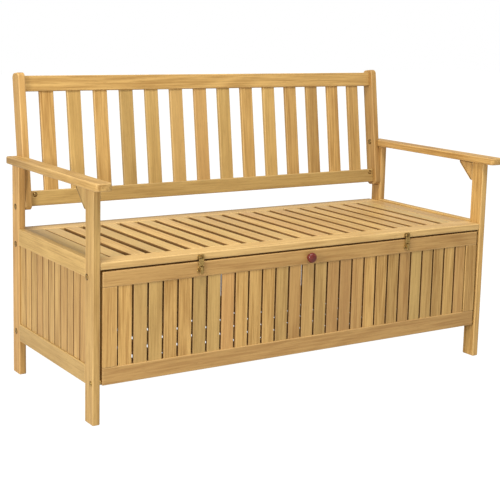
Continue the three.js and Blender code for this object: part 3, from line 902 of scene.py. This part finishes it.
# bolt heads on the legs' outer faces and the stiles' inner faces, nuts at the arm ends and the lower rail
def makeBolts(style):
    r, nut, sides = style["radius"], style["nutRadius"], style["sides"]
    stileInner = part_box("back_stile_right")[0].x
    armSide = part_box("armrest_right")[1].x - style["armSunk"] * mm
    y, z = legFront + style["stile"][0] * mm, style["stile"][1] * mm
    across, rise = (value * mm for value in style["railEnd"])
    parts = []
    for sign in (-1, 1):
        for depth, height in style["leg"]:
            place = (sign * legOuter, legFront + depth * mm, height * mm)
            parts.append(boltMesh(place, sign, 0, r, sides))
        parts.append(boltMesh((sign * stileInner, y, z), -sign, 0, r, sides))
        parts.append(boltMesh((sign * armSide, y, z), sign, 0, nut, sides))
        railNut = boltMesh((sign * across, leaningBack["railDepth"][0], rise), -1, 1, nut, sides)
        parts.append(lean(railNut, leaningBack["foot"], leaningBack["angle"]))
    makePiece("frame_bolts", parts, agedBrass, "frame")


makeKnob(knobShape)
makePivots(pivotShape)
makeBolts(boltStyle)
print("knob, pivots and bolts made")


latchShape = {
    "across": 340,  # from the middle of the bench
    "plate": 1.5,
    "plateEase": 0.35,
    # strike on the seat: a plate with two lobes for its screws; across, height from the floor
    "strike": [
        (-10.5, 388.6), (10.5, 388.6), (10.5, 398.5), (6.5, 403.0),
        (2.5, 401.6), (-2.5, 401.6), (-6.5, 403.0), (-10.5, 398.5),
    ],
    "strikeRound": 2.0,
    "strikeScrew": (7.6, 396.4),
    "pegHalf": 4.5,
    "pegReach": 5.0,
    "pegTop": 397.5,
    "pegThickness": 2.5,
    # the lever's pin: behind the legs' front faces, height from the floor
    "pin": (-3.6, 369.0),
    "pinRadius": 1.2,
    "pinHalf": 5.5,
    # base on the flap: a plate with two screw wings; across, height from the pin
    "base": [
        (-10.5, -13.5), (-4.0, -12.0), (4.0, -12.0), (10.5, -13.5), (10.5, -4.5),
        (7, -0.5), (7, 10), (-7, 10), (-7, -0.5), (-10.5, -4.5),
    ],
    "baseRounds": [2.2, 2.5, 2.5, 2.2, 2.6, 2, 2, 2, 2, 2.6],
    "baseScrew": (7.7, -8.6),
    # an ear seen from its side: behind the legs' front faces, height from the pin
    "ear": [(1.5, -3), (1.5, 3), (-5.8, 3), (-6.6, 0), (-5.8, -3)],
    "earRounds": [0.2, 0.2, 1.3, 1.3, 1.3],
    "earSides": (4.25, 5.25),
    # the lever seen from its side, from the pin: a bent blade that curls out at its tip
    "lever": [
        (2, 2), (0, 2.6), (-2, 2), (-2.6, 0), (-2.1, -3), (-1.7, -7), (-2.6, -12.6), (-4.2, -15.4),
        (-3.0, -16.4), (-1.0, -13.2), (0.6, -9), (2.6, -7.4), (3, -5.5), (2.6, -2),
    ],
    "leverHalf": 4.0,
    # the loop's pivot: behind the legs' front faces, height from the floor
    "loop": (-2.6, 363.0),
    "loopTop": 399.0,
    "loopHalf": 6.6,
    "loopEnd": 3.2,  # its ends reach in to here
    "wire": 1.0,
    "topBend": 2.2,
    "lowBend": 1.3,
    "strap": (373.5, 392.0),
    "strapHalfThickness": 0.6,
    "screwRadius": 2.5,
    "screwSides": 16,
}


# pairs of numbers in millimetres, as places
def placed(pairs, first=0.0, second=0.0):
    return np.array(pairs, float) * mm + [first, second]


# a countersunk head: a low dome with a small recess
def screwMesh(place, shape):
    r = shape["screwRadius"]
    profile = [
        (0.05, -0.4), (r, -0.4), (r, 0.1), (r * 0.8, 0.5),
        (r * 0.5, 0.72), (r * 0.22, 0.75), (r * 0.2, 0.35), (0.05, 0.35),
    ]
    return turnedMesh(np.array(profile) * mm, place, -1, 1, shape["screwSides"])


# the strike's plate, its straight peg and two screws
def makeStrike(shape, side, x, plateY, faceY):
    outline = roundedOutline(placed(shape["strike"], x), shape["strikeRound"] * mm)
    plate = plankMesh(outline, plateY, faceY, (0, 2, 1), shape["plateEase"] * mm)
    half, top = shape["pegHalf"] * mm, shape["pegTop"] * mm
    low = (x - half, legFront - shape["pegReach"] * mm, top - shape["pegThickness"] * mm)
    peg = boardMesh(low, (x + half, faceY - 0.5 * mm, top), 1, 0.5 * mm)
    across, height = shape["strikeScrew"]
    screws = [screwMesh((x + a * across * mm, plateY, height * mm), shape) for a in (-1, 1)]
    parts = [plate, peg, *screws]
    makePiece("latch_strike_plate_" + side, parts, agedBrass, "frame", ("latch_strike_" + side,))


# the base's plate, two ears, the pin between them and two screws
def makeLatchBase(shape, side, x, plateY, faceY):
    pinY, pinZ = legFront + shape["pin"][0] * mm, shape["pin"][1] * mm
    outline = roundedOutline(placed(shape["base"], x, pinZ), np.array(shape["baseRounds"]) * mm)
    parts = [plankMesh(outline, plateY, faceY, (0, 2, 1), shape["plateEase"] * mm)]
    earOutline = roundedOutline(placed(shape["ear"], legFront, pinZ), np.array(shape["earRounds"]) * mm)
    inner, outer = (value * mm for value in shape["earSides"])
    for start in (x - outer, x + inner):
        parts.append(plankMesh(earOutline, start, start + outer - inner, (1, 2, 0), 0.2 * mm))
    r, half = shape["pinRadius"], shape["pinHalf"]
    pin = [(0.05, 0), (r - 0.2, 0), (r, 0.2), (r, 2 * half - 0.2), (r - 0.2, 2 * half), (0.05, 2 * half)]
    parts.append(turnedMesh(np.array(pin) * mm, (x - half * mm, pinY, pinZ), 1, 0, shape["screwSides"]))
    across, height = shape["baseScrew"]
    parts.extend(screwMesh((x + a * across * mm, plateY, pinZ + height * mm), shape) for a in (-1, 1))
    makePiece("latch_base_plate_" + side, parts, agedBrass, "flap", ("latch_base_" + side,))


# the lever's side outline carried across its width
def makeLever(shape, side, x):
    pinY, pinZ = legFront + shape["pin"][0] * mm, shape["pin"][1] * mm
    outline = roundedOutline(placed(shape["lever"], pinY, pinZ), 0.5 * mm, 3)
    half = shape["leverHalf"] * mm
    lever = plankMesh(outline, x - half, x + half, (1, 2, 0), 0.5 * mm)
    makePiece("latch_lever_blade_" + side, [lever], agedBrass, "lever_" + side, ("latch_lever_" + side,))


# one bent wire, up each side, over the peg and in to the lever at both ends, with a thin strap between
# its sides; every bend is a quarter circle
def makeLoop(shape, side, x):
    y, z = legFront + shape["loop"][0] * mm, shape["loop"][1] * mm
    half, top = shape["loopHalf"] * mm, shape["loopTop"] * mm
    lowBend, topBend = shape["lowBend"] * mm, shape["topBend"] * mm
    arc = np.linspace(0, math.pi / 2, 6)
    fall, rise = 1 - np.sin(arc), 1 - np.cos(arc)
    low = np.stack([half - lowBend * fall, z + lowBend * rise], axis=1)
    high = np.stack([half - topBend * rise, top - topBend * fall], axis=1)
    right = np.concatenate([[[shape["loopEnd"] * mm, z]], low, high])
    both = np.concatenate([right, right[::-1] * [-1, 1]])
    path = np.stack([both[:, 0] + x, np.full(len(both), y), both[:, 1]], axis=1)
    bottom, end = shape["strap"]
    a = shape["loopHalf"]
    outline = roundedOutline(placed([(-a, bottom), (a, bottom), (a, end), (-a, end)], x), 1.2 * mm)
    thin = shape["strapHalfThickness"] * mm
    strap = plankMesh(outline, y - thin, y + thin, (0, 2, 1), 0.3 * mm)
    parts = [wireMesh(path, shape["wire"] * mm), strap]
    makePiece("latch_loop_wire_" + side, parts, agedBrass, "loop_" + side, ("latch_loop_" + side,))


def makeLatches(shape):
    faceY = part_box("flap_stile_left")[0].y
    plateY = faceY - shape["plate"] * mm
    for side, sign in (("left", -1), ("right", 1)):
        x = sign * shape["across"] * mm
        makeStrike(shape, side, x, plateY, faceY)
        makeLatchBase(shape, side, x, plateY, faceY)
        makeLever(shape, side, x)
        makeLoop(shape, side, x)


makeLatches(latchShape)
print("latches made")
